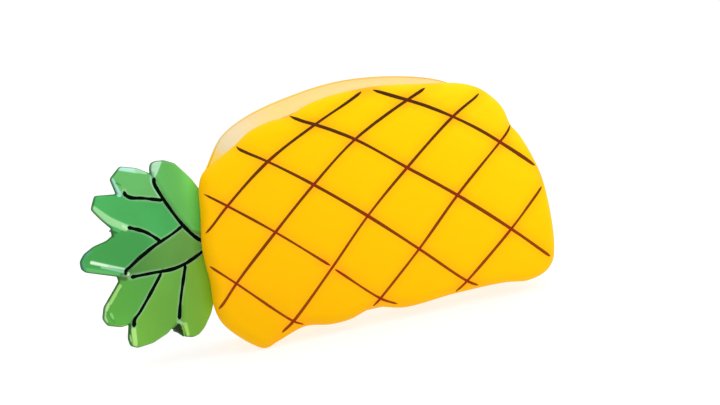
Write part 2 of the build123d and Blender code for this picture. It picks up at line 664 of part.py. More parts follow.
def make_wheel(name):
    """The worm wheel. Its teeth lean with the worm's thread, and a gap faces the worm."""
    lean = math.degrees(WORM_PITCH / (2 * math.pi * WORM_PITCH_R) / GEAR_PITCH_R)
    step = 2 * math.pi / GEAR_TEETH
    tip_r, root_r = GEAR_PITCH_R + TOOTH_REACH, GEAR_PITCH_R - TOOTH_ROOT
    outline = []
    for tooth in range(GEAR_TEETH):
        for radius, hand in ((root_r, -1), (tip_r, -1), (tip_r, 1), (root_r, 1)):
            half = GEAR_TOOTH / 2 - (radius - GEAR_PITCH_R) * FLANK
            angle = (tooth + 0.5) * step + hand * half / radius
            outline.append((radius * math.cos(angle), radius * math.sin(angle)))
    with BuildPart() as wheel:
        for height in GEAR_H:
            with BuildSketch(post_plane(name, height, lean * (height - WORM_H))):
                with BuildLine():
                    Polyline(*outline, close=True)
                make_face()
        loft(ruled=True)
        with BuildSketch(post_plane(name, 0)):
            Circle(POST_FOOT_R + GLUE_GAP)
        extrude(amount=THROUGH, mode=Mode.SUBTRACT)
    return wheel.part


def make_worm(name):
    """The worm shaft: a right-handed thread between the ears, plain journals and an end for the button."""
    side = TUNER_SIDE[name]
    root_r = WORM_PITCH_R - TOOTH_ROOT
    origin = worm_plane(name, 0).origin
    # The thread starts towards +X. The wheel lies HEAD_TILT degrees further round, where a crest has to be
    # level with the post's axis.
    thread_start = origin - Vector(0, 0, WORM_PITCH * (1 + HEAD_TILT / 360))
    inner = WORM_LENGTH / 2
    shaft_ends = (-inner - PLATE_THICK - SHAFT_END, BUTTON_Z[1] - TUNER_Z - BUTTON_SCREW_LENGTH)
    low, high = shaft_ends if side > 0 else (-shaft_ends[1], -shaft_ends[0])
    with BuildPart() as worm:
        with BuildSketch(worm_plane(name, low)):
            Circle(SHAFT_R)
        extrude(amount=high - low)
        with BuildSketch(worm_plane(name, -inner)):
            Circle(root_r)
        extrude(amount=2 * inner)
        with BuildLine() as path:
            Helix(WORM_PITCH, THREAD_TURNS * WORM_PITCH, WORM_PITCH_R, center=thread_start)
        deep, tip = -TOOTH_ROOT - THREAD_SINK, TOOTH_REACH
        wide = WORM_TOOTH / 2 - deep * FLANK
        narrow = WORM_TOOTH / 2 - tip * FLANK
        with BuildSketch(Plane(origin=path.line @ 0, x_dir=(1, 0, 0), z_dir=path.line % 0)):
            with BuildLine():
                Polyline((deep, -wide), (tip, -narrow), (tip, narrow), (deep, wide), close=True)
            make_face()
        sweep(path=path.line, is_frenet=True)
    return worm.part


def make_button(name):
    """The button: an oval knob with a waist, bored for the end of the shaft and for its screw."""
    plane = button_plane(name)
    length = BUTTON_Z[1] - BUTTON_Z[0]
    with BuildPart() as button:
        for share, wide, thick in BUTTON_SECTIONS:
            with BuildSketch(plane.offset(share * length)):
                Ellipse(wide, thick)
        loft()
        with BuildSketch(plane.offset(-1)):
            Circle(SHAFT_R + GLUE_GAP)
        extrude(amount=1 + length - BUTTON_SCREW_LENGTH + GLUE_GAP, mode=Mode.SUBTRACT)
        with BuildSketch(plane):
            Circle(SCREW_R)
        extrude(amount=THROUGH, mode=Mode.SUBTRACT)
    return button.part


def button_plane(name):
    """The plane of the button's inner end, with its normal pointing out of the head's side."""
    side = TUNER_SIDE[name]
    origin = head_point(TUNER_ROW[name] + CENTRE_DISTANCE, side * BUTTON_Z[0], WORM_H)
    return Plane(origin=origin, x_dir=HEAD.x_dir, z_dir=(0, 0, side))


def make_button_screw(name):
    """The small screw in the button's end."""
    length = BUTTON_Z[1] - BUTTON_Z[0]
    reach = BUTTON_SCREW_LENGTH - 4 * GLUE_GAP
    with BuildPart() as screw:
        with BuildSketch(button_plane(name).offset(length - reach)):
            Circle(SCREW_R - GLUE_GAP)
        extrude(amount=reach)
        with BuildSketch(button_plane(name).offset(length)):
            Circle(BUTTON_SCREW_HEAD[0])
        extrude(amount=BUTTON_SCREW_HEAD[1])
    return screw.part


def make_post(name):
    """The string post: a foot that carries the wheel, a journal, a waist for the string and a tapered cap."""
    journal_h = GEAR_H[1] + EAR_GAP
    with BuildPart() as post:
        for low, high, radius, taper in (
            (GEAR_H[0] - FOOT_LENGTH, journal_h, POST_FOOT_R, 0),
            (journal_h, WAIST_H[0], POST_R, 0),
            (*WAIST_H, POST_WAIST_R, 0),
            (WAIST_H[1], POST_TOP_H, POST_R, POST_CAP_TAPER),
        ):
            with BuildSketch(post_plane(name, low)):
                Circle(radius)
            extrude(amount=high - low, taper=taper)
    return post.part


def make_coil(name):
    """The string's turns round its post, as rings that touch it."""
    radius = STRING_R[name]
    with BuildPart() as coil:
        for turn in range(COIL_TURNS):
            height = COIL_H - turn * 2 * radius
            plane = post_plane(name, height)
            middle = plane.origin + plane.x_dir * (POST_WAIST_R + radius)
            with BuildSketch(Plane(origin=middle, x_dir=plane.x_dir, z_dir=plane.y_dir)):
                Circle(radius)
            revolve(axis=Axis(plane.origin, plane.z_dir))
    return coil.part


with BuildPart() as bushings:
    with BuildSketch(HEAD.offset(HEAD_BACK_H + BUSHING_FLANGE[0])):
        with Locations(*tuner_spots()):
            Circle(BUSHING_R)
            Circle(POST_R + RUNNING_CLEAR, mode=Mode.SUBTRACT)
    extrude(amount=HEAD_FRONT_H - HEAD_BACK_H - BUSHING_FLANGE[0])
    with BuildSketch(HEAD.offset(HEAD_FRONT_H)):
        with Locations(*tuner_spots()):
            Circle(BUSHING_R + BUSHING_FLANGE[0])
            Circle(POST_R + RUNNING_CLEAR, mode=Mode.SUBTRACT)
    extrude(amount=BUSHING_FLANGE[1])
save(bushings.part, "bushings")

with BuildPart() as plate_screws:
    for name in STRING_PLACE:
        for low, high, radius in (
            (PLATE_H, HEAD_BACK_H + PLATE_SCREW_GRIP, SCREW_R),
            (PLATE_H - PLATE_SCREW_HEAD[1], PLATE_H, PLATE_SCREW_HEAD[0]),
        ):
            with BuildSketch(post_plane(name, low)):
                with Locations(*PLATE_SCREW_SPOTS):
                    Circle(radius)
            extrude(amount=high - low)
save(plate_screws.part, "plate_screws")

for name in STRING_PLACE:
    save(make_tuner_plate(name), f"tuner_plate_{name}")
    save(make_worm(name), f"worm_{name}")
    save(make_button(name), f"button_{name}")
    save(make_button_screw(name), f"button_screw_{name}")
    save(make_wheel(name), f"worm_wheel_{name}")
    save(make_post(name), f"post_{name}")
    save(make_coil(name), f"string_coil_{name}")
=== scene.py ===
import json
import math

import bmesh
import bpy
import numpy as np
from mathutils import Matrix, Vector
from mathutils.bvhtree import BVHTree


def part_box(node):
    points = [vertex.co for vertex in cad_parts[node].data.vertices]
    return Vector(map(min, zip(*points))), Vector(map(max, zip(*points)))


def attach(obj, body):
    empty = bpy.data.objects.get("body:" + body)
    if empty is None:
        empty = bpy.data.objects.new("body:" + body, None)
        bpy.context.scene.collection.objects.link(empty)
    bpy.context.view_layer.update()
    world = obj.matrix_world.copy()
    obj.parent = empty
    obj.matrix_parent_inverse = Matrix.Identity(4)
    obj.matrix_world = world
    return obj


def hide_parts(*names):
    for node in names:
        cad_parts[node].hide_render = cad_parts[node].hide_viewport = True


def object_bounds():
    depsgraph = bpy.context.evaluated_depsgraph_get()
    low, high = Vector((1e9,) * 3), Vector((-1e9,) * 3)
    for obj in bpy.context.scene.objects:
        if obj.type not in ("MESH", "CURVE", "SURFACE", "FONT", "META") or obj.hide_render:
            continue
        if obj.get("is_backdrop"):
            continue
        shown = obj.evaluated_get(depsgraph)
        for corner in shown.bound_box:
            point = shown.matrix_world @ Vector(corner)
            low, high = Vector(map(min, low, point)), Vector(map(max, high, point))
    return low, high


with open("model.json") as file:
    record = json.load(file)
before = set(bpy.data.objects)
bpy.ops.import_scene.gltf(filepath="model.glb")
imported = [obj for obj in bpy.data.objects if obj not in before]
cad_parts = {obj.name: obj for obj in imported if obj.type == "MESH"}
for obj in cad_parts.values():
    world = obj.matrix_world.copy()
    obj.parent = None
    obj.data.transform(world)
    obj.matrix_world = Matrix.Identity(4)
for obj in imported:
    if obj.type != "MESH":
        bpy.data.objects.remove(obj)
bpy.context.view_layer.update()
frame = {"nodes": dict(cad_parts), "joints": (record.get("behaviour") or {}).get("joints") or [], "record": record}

MM = 0.001

# ---------------------------------------------------------------- places taken from the frame
SHELL_SEAT_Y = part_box("back_shell")[1].y / MM          # where the shell meets the sides
SHELL_TOP_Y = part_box("back_shell")[0].y / MM           # the flat of the shell's face
SHELL_RISE = SHELL_SEAT_Y - SHELL_TOP_Y
JOINTS = {joint["name"]: joint for joint in frame["joints"]}


def head_frame():
    """Origin and axes of the crown's outer face, from the string posts' joints."""
    inner = [Vector(JOINTS[f"post_{name}_turn"]["pos_m"]) / MM for name in ("g", "a")]
    outer = [Vector(JOINTS[f"post_{name}_turn"]["pos_m"]) / MM for name in ("c", "e")]
    normal = Vector(JOINTS["post_g_turn"]["axis"]).normalized()
    along = ((outer[0] + outer[1]) - (inner[0] + inner[1])).normalized()
    middle = (inner[0] + inner[1]) / 2
    return middle - along * FIRST_ROW - normal * WHEEL_HEIGHT, along, Vector((0, 0, 1)), normal


FIRST_ROW = 14.5         # from the crown's root to the first pair of posts
WHEEL_HEIGHT = 29.1      # from the crown's outer face to the middle of the wheels
CROWN_THICK = 12.0
HEAD_ORIGIN, HEAD_ALONG, HEAD_ACROSS, HEAD_NORMAL = head_frame()


def head_points(flat):
    """Turns rows of (along, across, height) in millimetres into points in the row frame, in metres."""
    axes = np.array([HEAD_ALONG, HEAD_ACROSS, HEAD_NORMAL])
    return (np.asarray(flat, float) @ axes + np.array(HEAD_ORIGIN)) * MM


# ---------------------------------------------------------------- mesh helpers
def curve_span(p, count):
    """Points on the smooth curve through four points, from the second of them up to the third."""
    t = [0.0]
    for a, b in zip(p, p[1:]):
        t.append(t[-1] + max(np.linalg.norm(b - a) ** 0.5, 1e-6))
    span = []
    for u in np.linspace(t[1], t[2], count, endpoint=False):
        a1 = ((t[1] - u) * p[0] + (u - t[0]) * p[1]) / (t[1] - t[0])
        a2 = ((t[2] - u) * p[1] + (u - t[1]) * p[2]) / (t[2] - t[1])
        a3 = ((t[3] - u) * p[2] + (u - t[2]) * p[3]) / (t[3] - t[2])
        b1 = ((t[2] - u) * a1 + (u - t[0]) * a2) / (t[2] - t[0])
        b2 = ((t[3] - u) * a2 + (u - t[1]) * a3) / (t[3] - t[1])
        span.append(((t[2] - u) * b1 + (u - t[1]) * b2) / (t[2] - t[1]))
    return span


def smooth_loop(points, count):
    """A closed smooth curve through points, as count points spaced evenly along it."""
    points = np.asarray(points, float)
    fine = []
    for k in range(len(points)):
        fine += curve_span([points[(k + o) % len(points)] for o in (-1, 0, 1, 2)], 24)
    return even_loop(np.array(fine), count)


def even_loop(points, count):
    """The closed run of points, resampled to count points an equal distance apart."""
    closed = np.vstack([points, points[:1]])
    reach = np.concatenate([[0], np.cumsum(np.linalg.norm(np.diff(closed, axis=0), axis=1))])
    places = np.linspace(0, reach[-1], count, endpoint=False)
    return np.stack([np.interp(places, reach, closed[:, k]) for k in range(points.shape[1])], 1)


def outward(loop):
    """Unit normals of a closed 2-D loop, pointing out."""
    tangent = np.roll(loop, -1, 0) - np.roll(loop, 1, 0)
    normal = np.stack([tangent[:, 1], -tangent[:, 0]], 1)
    normal /= np.linalg.norm(normal, axis=1)[:, None]
    area = np.sum(loop[:, 0] * np.roll(loop[:, 1], -1) - np.roll(loop[:, 0], -1) * loop[:, 1])
    return normal if area > 0 else -normal


def new_piece(name, vertices, faces, materials, smooth=True):
    """A mesh object from vertices in metres."""
    mesh = bpy.data.meshes.new(name)
    mesh.from_pydata([tuple(v) for v in vertices], [], [tuple(f) for f in faces])
    mesh.update()
    piece = bpy.data.objects.new(name, mesh)
    bpy.context.scene.collection.objects.link(piece)
    for material in materials:
        mesh.materials.append(material)
    mesh.polygons.foreach_set("use_smooth", [smooth] * len(mesh.polygons))
    work = bmesh.new()
    work.from_mesh(mesh)
    bmesh.ops.recalc_face_normals(work, faces=work.faces)
    work.to_mesh(mesh)
    work.free()
    return piece


# ---------------------------------------------------------------- node helpers
class Nodes:
    """A material's node tree with short ways to add and join nodes."""

    def __init__(self, name):
        self.material = bpy.data.materials.new(name)
        self.material.use_nodes = True
        self.tree = self.material.node_tree
        self.shader = self.tree.nodes["Principled BSDF"]

    def add(self, kind, settings=None, **inputs):
        node = self.tree.nodes.new(kind)
        for key, value in (settings or {}).items():
            setattr(node, key, value)
        for key, value in inputs.items():
            self.put(node.inputs[int(key[1:]) if key[1:].isdigit() else key.replace("_", " ")], value)
        return node

    def put(self, socket, value):
        if isinstance(value, bpy.types.NodeSocket):
            self.tree.links.new(value, socket)
        elif value is not None:
            socket.default_value = value

    def math(self, operation, a, b=None, c=None, clamp=False):
        settings = {"operation": operation, "use_clamp": clamp}
        return self.add("ShaderNodeMath", settings, i0=a, i1=b, i2=c).outputs[0]

    def ramp(self, factor, stops, mode="LINEAR"):
        node = self.add("ShaderNodeValToRGB", i0=factor)
        node.color_ramp.interpolation = mode
        while len(node.color_ramp.elements) < len(stops):
            node.color_ramp.elements.new(1.0)
        for element, (place, colour) in zip(node.color_ramp.elements, stops):
            element.position = place
            element.color = (*linear(colour), 1)
        return node.outputs[0]

    def mix(self, factor, a, b, blend="MIX"):
        node = self.add("ShaderNodeMix", {"data_type": "RGBA", "blend_type": blend}, i0=factor)
        self.put(node.inputs[6], a)
        self.put(node.inputs[7], b)
        return node.outputs[2]

    def range(self, value, low, high, to_low=0.0, to_high=1.0, kind="SMOOTHSTEP"):
        settings = {"interpolation_type": kind}
        return self.add("ShaderNodeMapRange", settings, i0=value, i1=low, i2=high, i3=to_low, i4=to_high).outputs[0]

    def noise(self, scale, detail=3.0, vector=None, rough=0.5):
        return self.add("ShaderNodeTexNoise", Vector=vector, Scale=scale, Detail=detail, Roughness=rough).outputs[0]

    def place(self):
        """The point in the row frame, in metres. It is the object's own coordinates, so it rides with the body."""
        return self.add("ShaderNodeTexCoord").outputs["Object"]

    def stretched(self, x, y, z):
        return self.add("ShaderNodeMapping", Vector=self.place(), Scale=(x, y, z)).outputs[0]

    def bump(self, height, strength, distance=MM):
        node = self.add("ShaderNodeBump", Height=height, Strength=strength, Distance=distance)
        self.put(self.shader.inputs["Normal"], node.outputs[0])

    def set(self, **inputs):
        for key, value in inputs.items():
            self.put(self.shader.inputs[key.replace("_", " ")], value)
        return self.material


def linear(colour):
    """An sRGB colour of 0 to 255 as linear values."""
    return tuple((c / 255 / 12.92) if c <= 10 else ((c / 255 + 0.055) / 1.055) ** 2.4 for c in colour)


def rgba(colour):
    return (*linear(colour), 1.0)


# ---------------------------------------------------------------- the quilted back
# The painted lines on the back's face, as (x, z) points, each with its width.
STROKES = [
    (1.7, [(-105, 80.5), (-96, 76), (-68, 61), (-38, 40), (-11, 15.5), (-0.5, 5)]),
    (1.7, [(-165, 74), (-158, 70), (-150, 66), (-124, 50), (-91, 23), (-59, -3.5), (-25, -35), (-0.5, -60)]),
    (1.6, [(-206, 62.5), (-205, 60), (-201, 57), (-187, 47.5), (-158, 25), (-124, -4.5), (-92, -35), (-62, -64.5),
           (-54.5, -69.5)]),
    (1.2, [(-234, 34), (-220, 23), (-190, -2), (-156, -33)]),
    (1.2, [(-153, -36.5), (-124, -64), (-113.5, -70)]),
    (1.2, [(-238.5, -16.5), (-223, -31.5), (-188, -66), (-181, -70)]),
    (1.5, [(-237.5, 7), (-220, 23), (-187, 47.5), (-150, 66), (-113.5, 81)]),
    (1.5, [(-237.5, -47), (-223, -31.5), (-190, -2), (-158, 25), (-124, 50), (-83, 69.5), (-69, 74.5)]),
    (1.4, [(-197, -72), (-188, -66), (-155, -35), (-124, -4.5), (-91, 23), (-53, 51.5), (-32, 63)]),
    (1.4, [(-130, -68), (-92, -35), (-59, -3.5), (-23, 27), (-13, 36)]),
    (1.4, [(-70.5, -70.5), (-62, -64.5), (-25, -35), (1.5, -10.5)]),
]
# The shell's outline where it meets the sides, from the middle of the tail over the arch.
BORDER = [
    (6.5, -32), (4.5, -6), (0, 11), (-7, 28), (-12, 36), (-14.5, 46), (-18, 53), (-29, 65), (-42, 71.5),
    (-70, 77), (-103, 82), (-134, 82), (-152, 79), (-166, 74), (-180, 73), (-195, 69), (-206, 62), (-219, 55),
    (-232, 47), (-236, 38), (-238, 20), (-241, -4), (-239.5, -28), (-239.5, -47), (-235, -60), (-217, -78),
    (-209, -82), (-199, -79), (-179, -73), (-161, -75.5), (-147, -75), (-129, -70.5), (-107, -75), (-70, -73),
    (-34, -73), (-17, -75), (-4, -71.5), (2.5, -65), (5.5, -54),
]
PUFF_UP = 2.0            # how far a cell swells
PUFF_REACH = 5.5         # how far from a line it takes to swell
EDGE_R = 9.0             # the roll of the shell's edge
MIDDLE = ((-178.0, 2.0), (-62.0, 4.0))     # the rings of the mesh close on this line
STROKE_STEP = 1.5


def open_curve(points, step):
    """A smooth open run through points, as points about step apart."""
    points = np.asarray(points, float)
    ends = np.vstack([2 * points[0] - points[1], points, 2 * points[-1] - points[-2]])
    fine = []
    for k in range(1, len(ends) - 2):
        count = max(2, int(np.linalg.norm(ends[k + 1] - ends[k]) / step))
        fine += curve_span(ends[k - 1:k + 3], count)
    fine.append(ends[-2])
    return np.array(fine)


def lengthened(path, extra):
    """The run carried straight on at both ends."""
    first, last = path[0] - path[2], path[-1] - path[-3]
    return np.vstack([path[0] + first / np.linalg.norm(first) * extra, path,
                      path[-1] + last / np.linalg.norm(last) * extra])


def distance_to(points, path):
    """Distance from each point to a run of short straight pieces."""
    best = np.full(len(points), np.inf)
    for a, b in zip(path, path[1:]):
        share = np.clip((points - a) @ (b - a) / max((b - a) @ (b - a), 1e-9), 0, 1)
        best = np.minimum(best, np.linalg.norm(points - a - share[:, None] * (b - a), axis=1))
    return best


def line_distances(points):
    """Distances to the nearest painted line and to the second nearest."""
    runs = [lengthened(open_curve(run, 4.0), 9.0) for _, run in STROKES]
    away = np.sort(np.array([distance_to(points, run) for run in runs]), axis=0)
    return away[0], away[1]


def shell_piece(material):
    """The quilted back shell: rings from its border to a line in its middle, swollen cell by cell."""
    count, rings = 900, 90
    loop = smooth_loop(BORDER, count)
    a, b = np.array(MIDDLE[0]), np.array(MIDDLE[1])
    share = np.clip((loop - a) @ (b - a) / ((b - a) @ (b - a)), 0, 1)
    middle = a + share[:, None] * (b - a)
    normal = outward(loop)
    # Ring 0 is the seat and ring 1 the upright edge. The rest run over the roll and across the face.
    inward = np.concatenate([[0, 0], np.linspace(0, 1, rings + 1)[1:] ** 1.25])
    flats = [loop + (middle - loop) * fall for fall in inward]
    near, second = line_distances(np.concatenate(flats))
    near, second = near.reshape(len(flats), count), second.reshape(len(flats), count)
    vertices = []
    for step, flat in enumerate(flats):
        depth = np.abs(np.einsum("ij,ij->i", flat - loop, normal))
        roll = np.clip(1 - depth / EDGE_R, 0, 1)
        round_rise = (SHELL_RISE - PUFF_UP) * np.sqrt(1 - roll ** 2)
        swell = (1 - np.exp(-(near[step] / PUFF_REACH) ** 1.5)) * (1 - roll ** 2)
        rise = depth * 0 if step == 0 else np.maximum(round_rise + PUFF_UP * swell, 1.0)
        vertices.append(np.stack([flat[:, 0], SHELL_SEAT_Y - rise, flat[:, 1]], 1))
    vertices.append(np.stack([middle[:, 0], np.full(count, SHELL_SEAT_Y), middle[:, 1]], 1))
    faces = []
    for r in range(len(flats) - 1):
        for k in range(count):
            n = (k + 1) % count
            faces.append((r * count + k, r * count + n, (r + 1) * count + n, (r + 1) * count + k))
    back = len(flats) * count
    for k in range(count):
        n = (k + 1) % count
        faces.append((k, n, back + n, back + k))
    piece = new_piece("quilted_back", np.concatenate(vertices) * MM, faces, [material])
    far = np.full(count, 99.0)
    for name, values in (("line_mm", near), ("second_mm", second)):
        store = piece.data.attributes.new(name, "FLOAT", "POINT")
        store.data.foreach_set("value", np.concatenate([values.ravel(), far]).astype(np.float32))
    merge = bmesh.new()
    merge.from_mesh(piece.data)
    bmesh.ops.remove_doubles(merge, verts=merge.verts, dist=1e-6)
    bmesh.ops.recalc_face_normals(merge, faces=merge.faces)
    merge.to_mesh(piece.data)
    merge.free()
    return piece


def ribbon(path, widths, normals, rise, sides=12):
    """Vertices and faces of a flattened tube along a 3-D path, in millimetres."""
    tangent = np.gradient(path, axis=0)
    across = np.cross(normals, tangent)
    across /= np.linalg.norm(across, axis=1)[:, None]
    turns = np.linspace(0, 2 * math.pi, sides, endpoint=False)
    rings = [path + across * (widths * math.cos(t))[:, None] + normals * (rise * math.sin(t)) for t in turns]
    vertices = np.stack(rings, 1).reshape(-1, 3)
    faces = []
    for k in range(len(path) - 1):
        for side in range(sides):
            n = (side + 1) % sides
            faces.append((k * sides + side, k * sides + n, (k + 1) * sides + n, (k + 1) * sides + side))
    last = (len(path) - 1) * sides
    return vertices, faces + [tuple(range(sides)), tuple(range(last, last + sides))]


def brush_width(count, width, wave):
    """Half widths along a brush stroke: rounded ends and a slight swell and fall between them."""
    share = np.linspace(0, 1, count)
    half = 0.5 * width * (1 + 0.13 * np.sin(wave + 9 * share) + 0.08 * np.sin(2.3 * wave + 23 * share))
    half[[0, -1]] *= 0.25
    half[[1, -2]] *= 0.75
    return half


def painted_lines_piece(back, material):
    """The brown lines, laid on the face of the quilted back."""
    tree = BVHTree.FromPolygons([v.co for v in back.data.vertices], [p.vertices[:] for p in back.data.polygons])
    vertices, faces, crossing, start = [], [], [], 0
    for number, (width, points) in enumerate(STROKES):
        flat = open_curve(points, STROKE_STEP)
        path, normals, kept = [], [], []
        for x, z in flat:
            place, normal, _, _ = tree.ray_cast(Vector((x, SHELL_TOP_Y - 20, z)) * MM, Vector((0, 1, 0)))
            if place is not None and place.y / MM < SHELL_SEAT_Y - 1.5:
                path.append(np.array(place) / MM)
                normals.append(np.array(normal))
                kept.append((x, z))
        path = np.array(path)
        normals = np.array(normals)
        for _ in range(3):
            normals[1:-1] = (normals[:-2] + normals[1:-1] + normals[2:]) / 3
        normals /= np.linalg.norm(normals, axis=1)[:, None]
        points, polygons = ribbon(path + normals * 0.12, brush_width(len(path), width * 1.3, number * 1.7), normals, 0.4)
        _, second = line_distances(np.array(kept))
        vertices.append(points)
        faces += [tuple(v + start for v in polygon) for polygon in polygons]
        crossing += [value for value in second for _ in range(12)]
        start += len(points)
    piece = new_piece("painted_lines", np.concatenate(vertices) * MM, faces, [material])
    store = piece.data.attributes.new("second_mm", "FLOAT", "POINT")
    store.data.foreach_set("value", np.array(crossing, np.float32))
    return piece


def painted_light_slope(m):
    """Share of painted light and shade across the face, 0 at the flat head corner to 1 at the arched tail corner, a
    little cloudy.
    """
    split = m.add("ShaderNodeSeparateXYZ", Vector=m.place())
    x = m.math("MULTIPLY", split.outputs[0], 1 / MM)
    z = m.math("MULTIPLY", split.outputs[2], 1 / MM)
    slope = m.math("ADD", m.math("MULTIPLY", x, 1 / 420), m.math("MULTIPLY", z, 1 / 260))
    cloud = m.math("MULTIPLY_ADD", m.noise(9.0, 2.0, m.place()), 0.16, -0.08)
    return m.math("ADD", m.range(slope, -0.72, 0.24, 0.0, 1.0, "LINEAR"), cloud), z


def shell_material():
    """Warm yellow, with painted light and shade across the face, and painted shade, a little redder, in the creases
    beside the painted lines.
    """
    m = Nodes("yellow_quilt")
    near = m.add("ShaderNodeAttribute", {"attribute_name": "line_mm"}).outputs["Fac"]
    second = m.add("ShaderNodeAttribute", {"attribute_name": "second_mm"}).outputs["Fac"]
    tone, _ = painted_light_slope(m)
    # Painted light and shade: the yellow is darker and redder towards the flat head corner and lighter towards the
    # arched tail corner.
    yellow = m.ramp(tone, [(0.0, (240, 178, 0)), (0.35, (251, 190, 0)), (0.7, (254, 202, 0)), (1.0, (255, 216, 16))])
    # Painted shade in the creases beside the lines, deepest where two lines cross.
    crease_shade = m.math("MULTIPLY", m.range(near, 9.0, 0.5), m.math("MULTIPLY_ADD", m.range(second, 11.0, 1.0), 0.5, 0.25))
    yellow = m.mix(crease_shade, yellow, rgba((255, 166, 20)))
    m.bump(m.noise(120.0, 2.0, m.place()), 0.04, 0.3 * MM)
    return m.set(Base_Color=yellow, Roughness=0.5, Specular_IOR_Level=0.04)


def stroke_material():
    """Brown paint, darker at the arched side and redder where lines cross."""
    m = Nodes("brown_strokes")
    second = m.add("ShaderNodeAttribute", {"attribute_name": "second_mm"}).outputs["Fac"]
    tone, z = painted_light_slope(m)
    high = m.range(z, -60.0, 80.0, 0.0, 1.0, "LINEAR")
    brown = m.ramp(high, [(0.0, (140, 62, 0)), (0.5, (112, 52, 0)), (0.8, (82, 46, 2)), (1.0, (62, 38, 4))])
    brown = m.mix(m.math("MULTIPLY", m.range(second, 5.0, 1.0), m.range(high, 0.95, 0.6, 0.15, 0.7)), brown, rgba((140, 34, 0)))
    return m.set(Base_Color=brown, Roughness=0.6, Specular_IOR_Level=0.1)


# ---------------------------------------------------------------- the crown
# Each leaf: its colour near the body, its colour at the tip and its outline (along, across). A point that lies
# in more than one leaf belongs to the first of them, so the later leaves may run on under the earlier ones.
LEAVES = {
    "centre": ((98, 148, 62), (68, 132, 52), [
        (-4, 4), (4, 8), (10, 12), (20, 10), (37, 4), (54, -4), (59, -9), (57, -12), (40, -13), (28, -14),
        (14, -12.5), (6, -10), (-4, -8)]),
    "top_inner": ((86, 160, 62), (92, 176, 88), [
        (-5, 2), (-9, 21), (-8.5, 31), (-1.5, 44), (8.5, 57), (16, 61), (23, 62), (26.5, 61), (28, 57), (27.5, 50),
        (21.5, 33.5), (12, 15), (6, 7)]),
    "bottom_inner": ((112, 152, 32), (106, 168, 54), [
        (-4, -4), (6, -10), (14, -12.5), (22.5, -36), (25.5, -51), (23.5, -63), (17, -65), (12, -64), (7, -60), (0.5, -51.5),
        (-3.5, -42), (-4, -35), (-5, -20)]),
    "tip": ((58, 146, 70), (60, 150, 68), [
        (28, 4), (33, 11), (46, 19), (53, 21.5), (62, 19.5), (68, 16.5), (78, 15), (86, 11.5), (90, 7), (90, 1.5),
        (87, -1.5), (64.5, -10), (60, -9.5), (54, -4.5), (47, 0)]),
    "upper": ((60, 154, 76), (68, 166, 84), [
        (8, 8), (22, 34), (46, 42), (50, 45.5), (71, 49), (75.5, 40), (70, 32), (63, 23.5), (46, 13), (30, 4)]),
    "lower": ((78, 150, 64), (86, 164, 56), [
        (28, -10), (44, -8), (60, -8), (67, -16), (78.5, -28), (81, -36), (78, -41.5), (68, -45), (62, -44.5),
        (45, -28), (33, -14.5)]),
    "bottom_outer": ((94, 156, 58), (104, 166, 52), [
        (10, -8), (30, -10), (48, -22), (60, -34), (65, -54), (64, -59.5), (59, -62), (47, -61.5), (35, -57.5),
        (25, -50), (16, -30)]),
    "top_outer": ((94, 168, 92), (92, 172, 92), [
        (20, 24), (23, 44), (28.5, 55), (37, 60.5), (49, 64.5), (58, 57.5), (55, 45), (50, 38), (34, 26)]),
    # The last three are dark webs: painted shade that fills the notches between the leaves.
    "shade_web_bottom": ((22, 38, 6), (16, 28, 4), [(32, -55), (23.5, -63.5), (22, -56), (25, -48)]),
    "shade_web_top": ((40, 104, 54), (44, 110, 58), [(63.5, 24.5), (63.5, 18), (56, 16), (54, 23)]),
    "shade_web_tip": ((62, 92, 34), (48, 78, 30), [(65, -9), (64.5, -14), (56, -14), (56, -8)]),
}
VEINS = [
    [(-1.5, -1), (4, 4), (12, 15), (21.5, 33.5), (25, 41.5), (27, 47.5), (26.5, 51.5)],
    [(23, 34.5), (37.5, 39.5), (46, 42), (49.5, 45), (50, 47.5)],
    [(29.5, 7), (39.5, 16), (52, 22.5)],
    [(12, 13.5), (20, 10), (37.5, 4), (54.5, -4.5), (58.5, -6.5), (59.5, -9.5)],
    [(-1.5, -6.5), (6, -10), (14, -12.5), (24, -14), (40, -13), (56, -12)],
    [(33, -14.5), (45, -28), (54, -37.5), (58.5, -41.5), (60, -46.5)],
    [(14.5, -13.5), (22.5, -36.5), (26, -49.5)],
]
